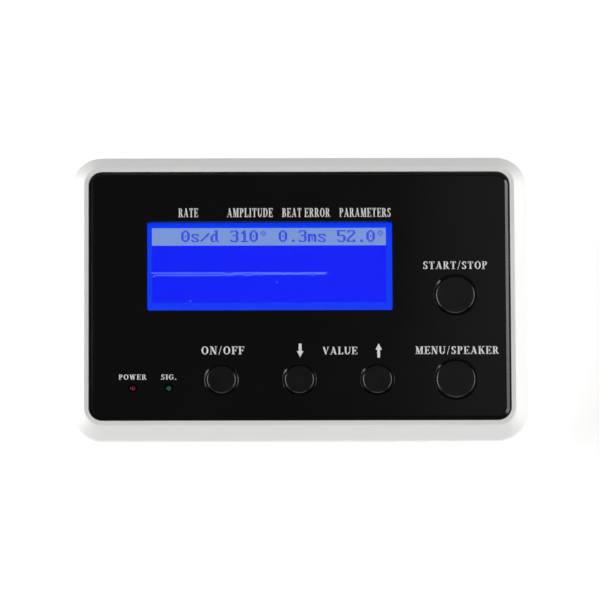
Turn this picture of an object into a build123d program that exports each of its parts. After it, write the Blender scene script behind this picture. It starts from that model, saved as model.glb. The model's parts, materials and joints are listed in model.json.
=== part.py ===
from build123d import *
import math
import os

# A timegrapher's display unit: two moulded shells around a black fascia with a graphic
# display, five push buttons and two lamps. Sizes are in millimetres.
# Everything but the base is laid out in the panel's own frame: X across, Y up the slope,
# Z out of the panel, with zero in the middle of the panel's face. The panel is then
# sloped towards the user, and the base is cut level.

# Housing outline
body_width = 190.0
body_length = 123.2
corner_radius = 13.0
slope = 12.0
front_height = 10.5
wall = 2.4
floor_thickness = 2.5

# Bevelled frame of the top shell
bevel_run = 5.4
bevel_drop = 4.7
band_height = 2.1
crest_height = 0.4
lip_drop = 0.3
edge_round = 1.1
crest_round = 0.5
deck_thickness = 2.4

# Joint line between the shells
tongue_height = 1.6
tongue_thickness = 1.2
tongue_clearance = 0.15

# Lower tub
tub_bevel = 5.0
tub_draft = 3.0

# Fascia
panel_width = 174.7
panel_length = 107.4
panel_corner = 5.3
panel_thickness = 2.0
panel_gap = 0.5
panel_bevel_run = 1.5
panel_bevel_drop = 0.7
panel_hole_run = 0.9
panel_hole_drop = 0.5

# Display opening and its clear pane
window_width = 102.0
window_length = 38.7
window_corner = 0.9
window_x = -12.35
window_y = 13.05
pane_border = 3.0
pane_thickness = 1.2
pane_clearance = 0.15

# Display module, a standard 192 by 64 dot graphic unit
module_width = 130.0
module_length = 65.0
module_hole_inset = 2.5
module_hole_radius = 1.6
view_width = 104.0
view_length = 40.0
bezel_width = 116.0
bezel_length = 53.0
bezel_sheet = 0.5
module_depth = 9.0
glass_thickness = 1.1
module_clearance = 0.3
module_shift_x = -0.3
module_shift_y = 1.7
tab_width = 4.0
tab_spacing = 36.0

# Circuit boards
board_thickness = 1.6
key_board_depth = 13.0
main_board_depth = 27.0
chip_height = 1.7

# Buttons
large_radius = 8.0
small_radius = 6.0
cap_gap = 0.3
cap_proud = 0.4
cap_wall = 1.5
cap_edge = 0.35
flange_width = 1.1
flange_thickness = 1.2
cap_float = 0.1
travel = 0.5
post_radius = 2.2
button_row = -36.3
small_column = -0.25
small_spacing = 32.4
large_column = 64.8
start_row = 0.3

# Push switches under the buttons
switch_side = 6.2
switch_height = 3.5
switch_floor = 0.6
plunger_radius = 1.7
plunger_gap = 0.12
plunger_rise = 3.6

# Lamps
lamp_radius = 1.5
lamp_hole_radius = 1.9
lamp_length = 5.3
lamp_crown = 0.9
lamp_tip = 0.9
lamp_sink = 0.3
lamp_flange = 0.4
lamp_flange_height = 1.0
lamp_row = -39.9
power_column = -69.4
signal_column = -54.5
lead_side = 0.5
lead_gap = 0.15
lead_spacing = 2.54
spacer_radius = 2.6
spacer_bore = 1.7

# Screws and the pillars that take them
case_shank = 1.4
case_head = 2.4
case_head_height = 1.9
case_grip = 4.0
case_bite = 5.5
board_shank = 1.1
board_head = 2.2
board_head_height = 1.5
board_bite = 5.0
thread_gap = 0.05
hole_clearance = 0.3
case_pillar = 3.7
pillar_drop = 3.0
board_pillar = 2.9
case_screw_inset = 13.0
drive_width = 0.6
drive_depth = 0.7
prism_sides = 8

# Sockets in the rear wall
socket_hole_gap = 0.25
sensor_column = 34.0
sensor_bore = 1.8
sensor_nose = 3.0
sensor_side = 7.0
sensor_depth = 14.0
sensor_sink = 0.3
dc_column = 62.0
dc_bore = 3.05
dc_nose = 4.0
dc_pin = 1.0
dc_pin_root = 0.7
dc_pin_sink = 1.0
dc_width = 9.4
dc_height = 10.5
dc_depth = 12.0
dc_back_wall = 1.5

# Speaker
speaker_x = -54.0
speaker_y = 6.0
speaker_radius = 18.0
speaker_rim = 2.0
speaker_plate = 1.0
speaker_depth = 4.2
diaphragm_gap = 0.3
diaphragm_sink = 0.8
diaphragm_thickness = 0.4
magnet_radius = 9.0
magnet_height = 4.0
ear_reach = 22.0
ear_radius = 3.4
slot_width = 2.0
slot_pitch = 4.4
slot_count = 7
slot_margin = 3.5

# Feet
foot_radius = 6.0
foot_height = 2.0
foot_inset_x = 21.0
foot_inset_y = 13.0

# Main board
main_width = 108.0
main_length = 41.5
main_x = 24.0
main_rear_gap = 1.0
main_hole_inset = 3.5

# Ribbon cables between the boards
ribbon_thickness = 0.9
ribbon_run = 4.0
display_ribbon_width = 50.0
display_ribbon_x = 2.0
key_ribbon_width = 12.0
key_ribbon_shift = 3.0
plug_height = 2.6
plug_length = 4.0

# Levels in the panel's frame, and places that follow from the sizes above
crest_level = crest_height
bevel_foot = crest_level - bevel_drop
parting_level = bevel_foot - band_height
pillar_level = parting_level - pillar_drop
bevel_angle = math.degrees(math.atan2(bevel_run, bevel_drop))
recess_level = -panel_thickness
deck_level = recess_level - deck_thickness
module_top = deck_level - module_clearance
module_level = module_top - module_depth
module_x = window_x + module_shift_x
module_y = window_y + module_shift_y
key_level = -key_board_depth
main_level = -main_board_depth
flange_top = deck_level - cap_float
flange_level = flange_top - flange_thickness
plunger_top = key_level + switch_height + plunger_rise
seat_level = pillar_level - case_grip
panel_height = front_height + foot_height + body_length / 2 * math.sin(math.radians(slope))
panel_height = panel_height - parting_level * math.cos(math.radians(slope))
floor_level = foot_height + floor_thickness
deep_level = -3 * main_board_depth

sloped = Pos(0, 0, panel_height) * Rot(slope, 0, 0)

buttons = {
    "on_off": (small_column - small_spacing, button_row, small_radius),
    "value_down": (small_column, button_row, small_radius),
    "value_up": (small_column + small_spacing, button_row, small_radius),
    "menu": (large_column, button_row, large_radius),
    "start_stop": (large_column, start_row, large_radius),
}
lamps = {"power": power_column, "signal": signal_column}

case_screw_places = [
    (side * (body_width / 2 - case_screw_inset), end * (body_length / 2 - case_screw_inset))
    for side in (-1, 1)
    for end in (-1, 1)
]
module_screw_places = [
    (
        module_x + side * (module_width / 2 - module_hole_inset),
        module_y + end * (module_length / 2 - module_hole_inset),
    )
    for side in (-1, 1)
    for end in (-1, 1)
]
key_board_right = large_column + large_radius + flange_width + 4.0
key_board_left = power_column - 8.5
key_board_front = button_row - large_radius - flange_width - 4.5
key_board_back = module_y - module_length / 2 - 4.0
key_board_top = module_y + 20.0
key_arm_left = module_x + module_width / 2 + 2.0
key_screw_places = [
    (power_column - 4.5, key_board_back - 4.5),
    (small_column - small_spacing / 2, button_row),
    ((small_column + small_spacing + large_column) / 2, button_row),
    (large_column, (button_row + start_row) / 2),
    (large_column, key_board_top - 4.5),
]


def block(x, y, bottom, top, width, length):
    """A box standing on one level and reaching another."""
    return Pos(x, y, (bottom + top) / 2) * Box(width, length, top - bottom)


def rod(x, y, bottom, top, radius):
    """An upright cylinder between two levels."""
    return Pos(x, y, (bottom + top) / 2) * Cylinder(radius, top - bottom)


def prism(x, y, bottom, top, radius):
    """A small hidden rod or bore, with a few flat sides between two levels."""
    return Pos(x, y, bottom) * extrude(RegularPolygon(radius, prism_sides), top - bottom)


def slab(width, length, corner, bottom, top, taper=0.0):
    """A rounded plate that narrows upwards by its taper."""
    return Pos(0, 0, bottom) * extrude(RectangleRounded(width, length, corner), top - bottom, taper=taper)


def hanging_slab(width, length, corner, top, bottom, taper=0.0):
    """A rounded plate that narrows downwards by its taper."""
    return Pos(0, 0, top) * Rot(180, 0, 0) * extrude(
        RectangleRounded(width, length, corner), top - bottom, taper=taper
    )


def inset_slab(inset, bottom, top):
    """The housing's outline drawn in by an inset, between two levels."""
    return slab(body_width - 2 * inset, body_length - 2 * inset, corner_radius - inset, bottom, top)


def screw(x, y, seat, length, shank, head, head_height):
    """A screw driven upwards, with its head under the seat."""
    return prism(x, y, seat, seat + length, shank) + prism(x, y, seat - head_height, seat, head)


def cross_drive(x, y, bottom, size):
    """The cross recess in the head of a screw driven upwards."""
    drive = block(x, y, bottom, bottom + drive_depth, drive_width, size)
    return drive + block(x, y, bottom, bottom + drive_depth, size, drive_width)


def edges_at(shape, level):
    """The edges of a shape that lie in a level plane."""
    return shape.edges().filter_by_position(Axis.Z, level - 0.01, level + 0.01)


def button_hole(name):
    """The clearance hole around one button, through the fascia and the deck."""
    x, y, radius = buttons[name]
    return rod(x, y, deck_level - 1, crest_level + 1, radius + cap_gap)


def lamp_hole(name):
    """The hole over one lamp."""
    return rod(lamps[name], lamp_row, deck_level - 1, crest_level + 1, lamp_hole_radius)


def make_top_shell():
    """The bevelled frame, its sunk deck and the pillars that hang from the deck."""
    shell = inset_slab(0, parting_level, bevel_foot)
    shell += slab(body_width, body_length, corner_radius, bevel_foot, crest_level, bevel_angle)
    shell = fillet(edges_at(shell, bevel_foot), edge_round)

    recess_width = panel_width + 2 * panel_gap
    recess_length = panel_length + 2 * panel_gap
    recess_corner = panel_corner + panel_gap
    crest = Pos(0, 0, crest_level) * RectangleRounded(
        body_width - 2 * bevel_run, body_length - 2 * bevel_run, corner_radius - bevel_run
    )
    recess = Pos(0, 0, crest_level - lip_drop) * RectangleRounded(recess_width, recess_length, recess_corner)
    shell -= loft([recess, crest], ruled=True)
    shell = fillet(edges_at(shell, crest_level), crest_round)
    shell -= slab(recess_width, recess_length, recess_corner, recess_level, crest_level)

    shell -= inset_slab(wall, parting_level, deck_level)
    skirt = wall - tongue_thickness - tongue_clearance
    shell -= inset_slab(skirt, parting_level, parting_level + tongue_height + tongue_clearance)

    pocket_width = window_width + 2 * pane_border + 2 * pane_clearance
    pocket_length = window_length + 2 * pane_border + 2 * pane_clearance
    shell -= block(window_x, window_y, recess_level - pane_thickness, recess_level, pocket_width, pocket_length)
    shell -= block(window_x, window_y, deck_level, recess_level, window_width + pane_border, window_length + pane_border)

    for name in buttons:
        shell -= button_hole(name)
    for name in lamps:
        shell -= lamp_hole(name)

    for x, y in case_screw_places:
        shell += prism(x, y, pillar_level, deck_level, case_pillar)
        shell -= prism(x, y, pillar_level, pillar_level + case_bite, case_shank + thread_gap)
    for x, y in module_screw_places:
        shell += prism(x, y, module_level, deck_level, board_pillar)
        shell -= prism(x, y, module_level, module_level + board_bite + 1, board_shank + thread_gap)
    for x, y in key_screw_places:
        shell += prism(x, y, key_level, deck_level, board_pillar)
        shell -= prism(x, y, key_level, key_level + board_bite + 1, board_shank + thread_gap)
    return sloped * shell


def drafted_tub(inset, bevel_start, bevel_depth):
    """The lower half's outside or inside: a bevel under the joint line, then drafted walls."""
    width = body_width - 2 * inset
    length = body_length - 2 * inset
    corner = corner_radius - inset
    bevel = hanging_slab(width, length, corner, bevel_start, bevel_start - bevel_depth, 45)
    walls = hanging_slab(
        width - 2 * bevel_depth,
        length - 2 * bevel_depth,
        corner - bevel_depth,
        bevel_start - bevel_depth,
        deep_level,
        tub_draft,
    )
    return bevel + walls


def below(level):
    """Everything under a level plane."""
    side = 3 * body_width
    return Pos(0, 0, level - side / 2) * Box(side, side, side)


def rear_wall_at(level):
    """How far back the tub's rear wall reaches, in the panel's frame, at a depth."""
    drop = parting_level - tub_bevel - level
    return body_length / 2 - tub_bevel - drop * math.tan(math.radians(tub_draft))


sensor_level = main_level + sensor_side / 2
dc_level = main_level + dc_height - dc_nose - 0.6
sensor_face = rear_wall_at(sensor_level) - sensor_sink
dc_face = rear_wall_at(dc_level) - sensor_sink
main_back = rear_wall_at(main_level - board_thickness) - wall - main_rear_gap
main_y = main_back - main_length / 2
main_screw_places = [
    (
        main_x + side * (main_width / 2 - main_hole_inset),
        main_y + end * (main_length / 2 - main_hole_inset),
    )
    for side in (-1, 1)
    for end in (-1, 1)
]
speaker_screw_places = [(speaker_x, speaker_y + side * ear_reach) for side in (-1, 1)]


def rearward(x, level, start, end, radius):
    """A cylinder along the panel's Y, between two places."""
    return Pos(x, (start + end) / 2, level) * Rot(90, 0, 0) * Cylinder(radius, end - start)


def speaker_slots():
    """The row of sound slots in the floor, kept inside the speaker's rim."""
    slots = []
    for index in range(slot_count):
        offset = (index - (slot_count - 1) / 2) * slot_pitch
        reach = math.sqrt((speaker_radius - slot_margin) ** 2 - offset**2)
        slots.append(block(speaker_x + offset, speaker_y, 0, floor_level + 1, slot_width, 2 * reach))
    return slots


def make_tub_outside():
    """The lower half's outside, cut level at its base."""
    return sloped * drafted_tub(0, parting_level, tub_bevel) - below(foot_height)


def foot_places():
    """The four feet, set in from the edges of the level base."""
    base = make_tub_outside().faces().sort_by(Axis.Z)[0].bounding_box()
    across = base.size.X / 2 - foot_inset_x
    return [(side * across, y) for side in (-1, 1) for y in (base.min.Y + foot_inset_y, base.max.Y - foot_inset_y)]


def make_bottom_shell():
    """The wedge-shaped tub, with its screw pillars, board pillars, sockets' holes and slots."""
    outside = make_tub_outside()
    bevel_inset = wall / math.cos(math.radians(45))
    inside = sloped * drafted_tub(bevel_inset, parting_level, tub_bevel - bevel_inset + wall) - below(floor_level)
    shell = outside - inside

    skirt = wall - tongue_thickness
    tongue = inset_slab(skirt, parting_level - skirt / 2, parting_level + tongue_height)
    tongue -= inset_slab(wall, parting_level - skirt / 2, parting_level + tongue_height)
    shell += sloped * tongue

    pillars = [prism(x, y, deep_level, pillar_level, case_pillar) for x, y in case_screw_places]
    board_bottom = main_level - board_thickness
    pillars += [prism(x, y, deep_level, board_bottom, board_pillar) for x, y in main_screw_places]
    for pillar in pillars:
        shell += (sloped * pillar) & outside

    for x, y in case_screw_places:
        shell -= sloped * prism(x, y, deep_level, seat_level, case_head + hole_clearance)
        shell -= sloped * prism(x, y, seat_level - 1, pillar_level + 1, case_shank + hole_clearance)
    for x, y in main_screw_places:
        shell -= sloped * prism(x, y, board_bottom - 2.4, board_bottom + 1, board_shank + thread_gap)

    shell -= sloped * rearward(sensor_column, sensor_level, sensor_face - 8, sensor_face + 8, sensor_nose + socket_hole_gap)
    shell -= sloped * rearward(dc_column, dc_level, dc_face - 8, dc_face + 8, dc_nose + socket_hole_gap)

    for slot in speaker_slots():
        shell -= slot
    for x, y in speaker_screw_places:
        shell -= prism(x, y, foot_height + 0.6, floor_level, board_shank + thread_gap)
    return shell


def make_front_panel():
    """The black fascia, with a polished bevel round its edge."""
    straight = panel_thickness - panel_bevel_drop
    panel = slab(panel_width, panel_length, panel_corner, recess_level, recess_level + straight)
    bevel_taper = math.degrees(math.atan2(panel_bevel_run, panel_bevel_drop))
    panel += slab(panel_width, panel_length, panel_corner, recess_level + straight, 0, bevel_taper)
    window = Pos(window_x, window_y, 0) * slab(window_width, window_length, window_corner, recess_level, 0)
    panel -= window
    for name, (x, y, radius) in buttons.items():
        panel -= button_hole(name)
        hole = radius + cap_gap
        edge = Cone(hole, hole + panel_hole_run, panel_hole_drop)
        panel -= Pos(x, y, -panel_hole_drop / 2) * edge
    for name in lamps:
        panel -= lamp_hole(name)
    return sloped * panel


def make_display_window():
    """The clear pane let into the deck behind the fascia's opening."""
    width = window_width + 2 * pane_border
    length = window_length + 2 * pane_border
    return sloped * block(window_x, window_y, recess_level - pane_thickness, recess_level, width, length)


def tab_places():
    """The bezel's fixing tabs along both long sides."""
    side = bezel_length / 2 - bezel_sheet / 2
    return [(module_x + step * tab_spacing, module_y + end * side) for step in (-1, 0, 1) for end in (-1, 1)]


def make_lcd_bezel():
    """The pressed metal frame that clamps the glass to its board."""
    bezel = block(module_x, module_y, module_level, module_top, bezel_width, bezel_length)
    inner_width = bezel_width - 2 * bezel_sheet
    inner_length = bezel_length - 2 * bezel_sheet
    bezel -= block(module_x, module_y, module_level, module_top - bezel_sheet, inner_width, inner_length)
    bezel -= block(module_x, module_y, module_level, module_top, view_width, view_length)
    for x, y in tab_places():
        bezel += block(x, y, module_level - board_thickness - 0.8, module_level, tab_width, bezel_sheet)
    return sloped * bezel


def make_lcd_glass():
    """The display cell: a wide rear plate with the contacts' ledge, and a front plate."""
    width = bezel_width - 2 * bezel_sheet - 2 * module_clearance
    length = bezel_length - 2 * bezel_sheet - 2 * module_clearance
    top = module_top - bezel_sheet
    front = block(module_x, module_y, top - glass_thickness, top, width, length - 5)
    rear = block(module_x, module_y, top - 2 * glass_thickness, top - glass_thickness, width, length)
    return sloped * (front + rear)


def make_lcd_backlight():
    """The light guide box between the cell and its board."""
    width = bezel_width - 2 * bezel_sheet - 2 * module_clearance
    length = bezel_length - 2 * bezel_sheet - 2 * module_clearance
    top = module_top - bezel_sheet - 2 * glass_thickness
    return sloped * block(module_x, module_y, module_level, top, width, length)


def make_lcd_board():
    """The display's circuit board, with slots for the bezel's tabs."""
    bottom = module_level - board_thickness
    board = block(module_x, module_y, bottom, module_level, module_width, module_length)
    for x, y in module_screw_places:
        board -= prism(x, y, bottom, module_level, module_hole_radius)
    for x, y in tab_places():
        board -= block(x, y, bottom, module_level, tab_width + 0.4, bezel_sheet + 0.3)
    return sloped * board


def make_lcd_drivers():
    """The driver chips on the back of the display's board."""
    top = module_level - board_thickness
    chips = []
    for step in (-1, 0, 1):
        chips.append(block(module_x + step * 34.0, module_y - 8.0, top - chip_height, top, 20.0, 14.0))
    return sloped * Compound(chips)


def make_switches():
    """The five push switches' square housings, each with the plunger's bore."""
    housings = []
    for x, y, radius in buttons.values():
        housing = block(x, y, key_level, key_level + switch_height, switch_side, switch_side)
        bore = plunger_radius + plunger_gap
        housing -= prism(x, y, key_level + switch_floor, key_level + switch_height, bore)
        housings.append(housing)
    return sloped * Compound(housings)


def make_plunger(name):
    """One switch's plunger, standing clear of its floor by more than the travel."""
    x, y, radius = buttons[name]
    foot = key_level + switch_floor + travel + 0.2
    return sloped * prism(x, y, foot, plunger_top, plunger_radius)


def make_cap(name):
    """One button: a cup with a retaining flange under the deck and a post on its switch."""
    x, y, radius = buttons[name]
    cap = rod(x, y, flange_level, cap_proud, radius)
    cap = chamfer(cap.edges().sort_by(Axis.Z)[-1], cap_edge)
    cap += rod(x, y, flange_level, flange_top, radius + flange_width)
    cap -= prism(x, y, flange_level, cap_proud - cap_wall, radius - cap_wall)
    cap += prism(x, y, plunger_top, cap_proud - cap_wall, post_radius)
    return sloped * cap


def make_key_board():
    """The board for the buttons and lamps, L-shaped round the display module."""
    bottom = key_level - board_thickness
    strip_length = key_board_back - key_board_front
    strip = block(
        (key_board_left + key_board_right) / 2,
        (key_board_back + key_board_front) / 2,
        bottom,
        key_level,
        key_board_right - key_board_left,
        strip_length,
    )
    arm = block(
        (key_arm_left + key_board_right) / 2,
        (key_board_front + key_board_top) / 2,
        bottom,
        key_level,
        key_board_right - key_arm_left,
        key_board_top - key_board_front,
    )
    board = strip + arm
    for x, y in key_screw_places:
        board -= prism(x, y, bottom, key_level, board_shank + hole_clearance)
    for x in lamps.values():
        for side in (-1, 1):
            hole = lead_side + 2 * lead_gap
            board -= block(x + side * lead_spacing / 2, lamp_row, bottom, key_level, hole, hole)
    return sloped * board


def make_lamp(name):
    """A 3 mm lamp: a lens with a tapered crown, its flange and two square leads down to the board."""
    x = lamps[name]
    top = -lamp_sink
    bottom = top - lamp_length
    lens = rod(x, lamp_row, bottom, top - lamp_crown, lamp_radius)
    lens += Pos(x, lamp_row, top - lamp_crown / 2) * Cone(lamp_radius, lamp_tip, lamp_crown)
    lens += prism(x, lamp_row, bottom, bottom + lamp_flange_height, lamp_radius + lamp_flange)
    for side in (-1, 1):
        place = x + side * lead_spacing / 2
        lens += block(place, lamp_row, key_level - board_thickness, bottom, lead_side, lead_side)
    return sloped * lens


def make_lamp_spacers():
    """The tubes that hold the lamps up off the board."""
    tubes = []
    for x in lamps.values():
        top = -lamp_sink - lamp_length
        tube = prism(x, lamp_row, key_level, top, spacer_radius)
        tubes.append(tube - prism(x, lamp_row, key_level, top, spacer_bore))
    return sloped * Compound(tubes)


def make_main_board():
    """The main circuit board, behind and below the display module."""
    bottom = main_level - board_thickness
    board = block(main_x, main_y, bottom, main_level, main_width, main_length)
    for x, y in main_screw_places:
        board -= prism(x, y, bottom, main_level, board_shank + hole_clearance)
    return sloped * board


def make_processor():
    """The main processor in its flat square package."""
    return sloped * block(main_x - 24.0, main_y - 11.0, main_level, main_level + chip_height, 14.0, 14.0)


def make_crystal():
    """The timing crystal in its can, which sets the instrument's rate."""
    return sloped * Pos(main_x - 6.0, main_y - 11.0, main_level) * extrude(SlotOverall(11.0, 4.6), 3.6)


def make_regulator():
    """The voltage regulator lying on the board."""
    body = block(main_x + 24.0, main_y + 2.0, main_level, main_level + 4.4, 10.0, 9.0)
    tab = block(main_x + 24.0, main_y - 5.0, main_level, main_level + 1.3, 10.0, 6.0)
    return sloped * (body + tab)


def make_capacitors():
    """The upright smoothing capacitors."""
    cans = [prism(main_x + 22.0 + step * 8.0, main_y + 12.0, main_level, main_level + 8.0, 3.1) for step in (0, 1)]
    return sloped * Compound(cans)


def make_sensor_socket():
    """The jack for the movement holder's lead, with its collar through the rear wall."""
    wall_face = sensor_face - wall - socket_hole_gap
    body = block(
        sensor_column, wall_face - sensor_depth / 2, main_level, main_level + sensor_side, sensor_side + 1, sensor_depth
    )
    socket = body + rearward(sensor_column, sensor_level, wall_face, sensor_face, sensor_nose)
    socket -= rearward(sensor_column, sensor_level, sensor_face - sensor_depth, sensor_face, sensor_bore)
    return sloped * socket


def make_dc_socket():
    """The power socket's moulded body, with its round mouth through the rear wall."""
    wall_face = dc_face - wall - socket_hole_gap
    body = block(dc_column, wall_face - dc_depth / 2, main_level, main_level + dc_height, dc_width, dc_depth)
    socket = body + rearward(dc_column, dc_level, wall_face, dc_face, dc_nose)
    back = wall_face - dc_depth + dc_back_wall
    socket -= rearward(dc_column, dc_level, back, dc_face, dc_bore)
    socket -= rearward(dc_column, dc_level, wall_face - dc_depth, back, dc_pin_root)
    return sloped * socket


def make_dc_pin():
    """The power socket's centre pin, with a thinner root held in the body's back wall."""
    root = dc_face - wall - socket_hole_gap - dc_depth
    start = root + dc_back_wall
    pin = rearward(dc_column, dc_level, start, dc_face - dc_pin_sink, dc_pin)
    pin += rearward(dc_column, dc_level, root, start, dc_pin_root)
    return sloped * pin


def ribbon_loop(width, x, y, top, bottom):
    """A flat cable folded square: out of one plug, down, and back into the plug below."""
    outer = y - plug_length / 2 - ribbon_run
    inner = outer + ribbon_thickness
    half = ribbon_thickness / 2
    loop = block(x, (outer + inner) / 2, bottom - half, top + half, width, ribbon_thickness)
    for level in (top, bottom):
        loop += block(x, outer + ribbon_run / 2, level - half, level + half, width, ribbon_run)
    return loop


display_plug_y = module_y + module_length / 2 - 3.5
key_plug_y = key_board_top - 14.0
module_back = module_level - board_thickness
key_back = key_level - board_thickness
key_ribbon_x = large_column - key_ribbon_shift


def make_ribbon_plugs():
    """The four flat plugs that the two ribbon cables end in."""
    rows = (
        (display_ribbon_x, display_plug_y, module_back, display_ribbon_width),
        (key_ribbon_x, key_plug_y, key_back, key_ribbon_width),
    )
    plugs = []
    for x, y, back, width in rows:
        plugs.append(block(x, y, back - plug_height, back, width + 2, plug_length))
        plugs.append(block(x, y, main_level, main_level + plug_height, width + 2, plug_length))
    return sloped * Compound(plugs)


def make_display_ribbon():
    """The flat cable from the display's board down to the main board."""
    top = module_back - plug_height / 2
    bottom = main_level + plug_height / 2
    return sloped * ribbon_loop(display_ribbon_width, display_ribbon_x, display_plug_y, top, bottom)


def make_key_ribbon():
    """The narrower flat cable from the button board down to the main board."""
    top = key_back - plug_height / 2
    bottom = main_level + plug_height / 2
    return sloped * ribbon_loop(key_ribbon_width, key_ribbon_x, key_plug_y, top, bottom)


def make_speaker_frame():
    """The speaker's shallow cup, face down on the floor, with two screw ears."""
    rim_level = floor_level + speaker_plate
    frame = rod(speaker_x, speaker_y, floor_level, floor_level + speaker_depth, speaker_radius)
    for x, y in speaker_screw_places:
        frame += prism(x, y, floor_level, rim_level, ear_radius)
        frame += block(x, (y + speaker_y) / 2, floor_level, rim_level, 2 * ear_radius, abs(y - speaker_y))
        frame -= prism(x, y, floor_level, rim_level, board_shank + hole_clearance)
    hollow_top = floor_level + speaker_depth - speaker_plate
    return frame - rod(speaker_x, speaker_y, floor_level, hollow_top, speaker_radius - speaker_rim)


def make_speaker_diaphragm():
    """The thin disc stretched inside the cup."""
    bottom = floor_level + diaphragm_sink
    radius = speaker_radius - speaker_rim - diaphragm_gap
    return prism(speaker_x, speaker_y, bottom, bottom + diaphragm_thickness, radius)


def make_speaker_magnet():
    """The magnet on the back of the cup."""
    bottom = floor_level + speaker_depth
    return prism(speaker_x, speaker_y, bottom, bottom + magnet_height, magnet_radius)


def make_feet():
    """Four round rubber feet stuck to the level base."""
    return Compound([rod(x, y, 0, foot_height, foot_radius) for x, y in foot_places()])


def make_case_screws():
    """The four screws that pull the shells together."""
    length = case_grip + case_bite - 1
    screws = []
    for x, y in case_screw_places:
        bolt = screw(x, y, seat_level, length, case_shank, case_head, case_head_height)
        screws.append(bolt - cross_drive(x, y, seat_level - case_head_height, 1.4 * case_head))
    return sloped * Compound(screws)


def make_board_screws(places, seat):
    """The small screws that hold one board to its pillars."""
    length = board_thickness + board_bite
    return sloped * Compound(
        [screw(x, y, seat, length, board_shank, board_head, board_head_height) for x, y in places]
    )


def turned_screw(x, y, seat, length):
    """A small screw driven downwards."""
    return Pos(x, y, seat) * Rot(180, 0, 0) * screw(0, 0, 0, length, board_shank, board_head, board_head_height)


def make_main_screws():
    """The screws through the main board into the floor's pillars."""
    return sloped * Compound(
        [turned_screw(x, y, main_level, board_thickness + 2) for x, y in main_screw_places]
    )


def make_speaker_screws():
    """The screws through the speaker's ears."""
    seat = floor_level + speaker_plate
    return Compound(
        [turned_screw(x, y, seat, speaker_plate + floor_thickness - 0.9) for x, y in speaker_screw_places]
    )


def main():
    """Build every node, set the object's origin under its middle and write it out."""
    parts = {
        "top_shell": make_top_shell(),
        "bottom_shell": make_bottom_shell(),
        "front_panel": make_front_panel(),
        "display_window": make_display_window(),
        "lcd_bezel": make_lcd_bezel(),
        "lcd_glass": make_lcd_glass(),
        "lcd_backlight": make_lcd_backlight(),
        "lcd_board": make_lcd_board(),
        "lcd_drivers": make_lcd_drivers(),
        "key_board": make_key_board(),
        "switch_housings": make_switches(),
        "power_led": make_lamp("power"),
        "signal_led": make_lamp("signal"),
        "led_spacers": make_lamp_spacers(),
        "main_board": make_main_board(),
        "main_processor": make_processor(),
        "timing_crystal": make_crystal(),
        "voltage_regulator": make_regulator(),
        "capacitors": make_capacitors(),
        "sensor_socket": make_sensor_socket(),
        "dc_socket": make_dc_socket(),
        "dc_socket_pin": make_dc_pin(),
        "ribbon_plugs": make_ribbon_plugs(),
        "display_ribbon": make_display_ribbon(),
        "key_ribbon": make_key_ribbon(),
        "speaker_frame": make_speaker_frame(),
        "speaker_diaphragm": make_speaker_diaphragm(),
        "speaker_magnet": make_speaker_magnet(),
        "rubber_feet": make_feet(),
        "case_screws": make_case_screws(),
        "lcd_screws": make_board_screws(module_screw_places, module_level - board_thickness),
        "key_board_screws": make_board_screws(key_screw_places, key_level - board_thickness),
        "main_board_screws": make_main_screws(),
        "speaker_screws": make_speaker_screws(),
    }
    for name in buttons:
        parts[name + "_button"] = make_cap(name)
        parts[name + "_plunger"] = make_plunger(name)

    boxes = [parts[name].bounding_box() for name in ("top_shell", "bottom_shell")]
    middle = (min(box.min.Y for box in boxes) + max(box.max.Y for box in boxes)) / 2
    os.makedirs("parts", exist_ok=True)
    for name, part in parts.items():
        export_step(Pos(0, -middle, 0) * part, f"parts/{name}.step")


main()
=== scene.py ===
import json
import math
import bpy
from mathutils import Matrix, Vector


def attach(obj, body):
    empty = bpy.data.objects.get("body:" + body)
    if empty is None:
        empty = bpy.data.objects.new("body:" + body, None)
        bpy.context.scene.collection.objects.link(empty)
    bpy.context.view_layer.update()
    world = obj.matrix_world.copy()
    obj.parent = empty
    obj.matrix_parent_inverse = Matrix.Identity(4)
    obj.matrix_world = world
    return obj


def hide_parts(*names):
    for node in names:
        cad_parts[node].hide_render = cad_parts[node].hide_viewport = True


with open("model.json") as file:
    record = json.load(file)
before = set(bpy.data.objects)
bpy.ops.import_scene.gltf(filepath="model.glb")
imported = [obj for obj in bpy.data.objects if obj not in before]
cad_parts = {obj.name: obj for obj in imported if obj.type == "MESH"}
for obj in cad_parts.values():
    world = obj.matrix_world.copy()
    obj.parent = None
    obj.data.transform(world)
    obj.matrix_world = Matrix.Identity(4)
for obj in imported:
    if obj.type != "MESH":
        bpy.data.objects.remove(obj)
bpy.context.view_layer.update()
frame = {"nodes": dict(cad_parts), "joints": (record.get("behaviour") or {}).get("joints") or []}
nodes = frame["nodes"]
mm = 0.001

# The fascia has its own axes: across, up its slope and out of its face.
# The buttons are pressed straight in, so a joint's axis gives its direction.
outward = -Vector(frame["joints"][0]["axis"]).normalized()
across = Vector((1, 0, 0))
upSlope = outward.cross(across)
turned = Matrix((across, upSlope, outward))


def reachAlongFascia(name):  # lowest and highest of a node along the fascia's axes, in metres
    points = [turned @ vertex.co for vertex in nodes[name].data.vertices]
    low = Vector([min(point[i] for point in points) for i in range(3)])
    high = Vector([max(point[i] for point in points) for i in range(3)])
    return low, high


fasciaLow, fasciaHigh = reachAlongFascia("front_panel")
fasciaMiddle = (fasciaLow + fasciaHigh) / 2
fasciaMiddle.z = fasciaHigh.z
fasciaSpace = turned.inverted().to_4x4() @ Matrix.Translation(fasciaMiddle) @ Matrix.Scale(mm, 4)
slope = math.asin(upSlope.z)


def spot(name):  # a node's middle and half size in millimetres on the fascia
    low, high = reachAlongFascia(name)
    return ((low + high) / 2 - fasciaMiddle) / mm, (high - low) / 2 / mm


print("frame read, fascia slopes", round(math.degrees(slope), 2))

# Colours and nodes


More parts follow.
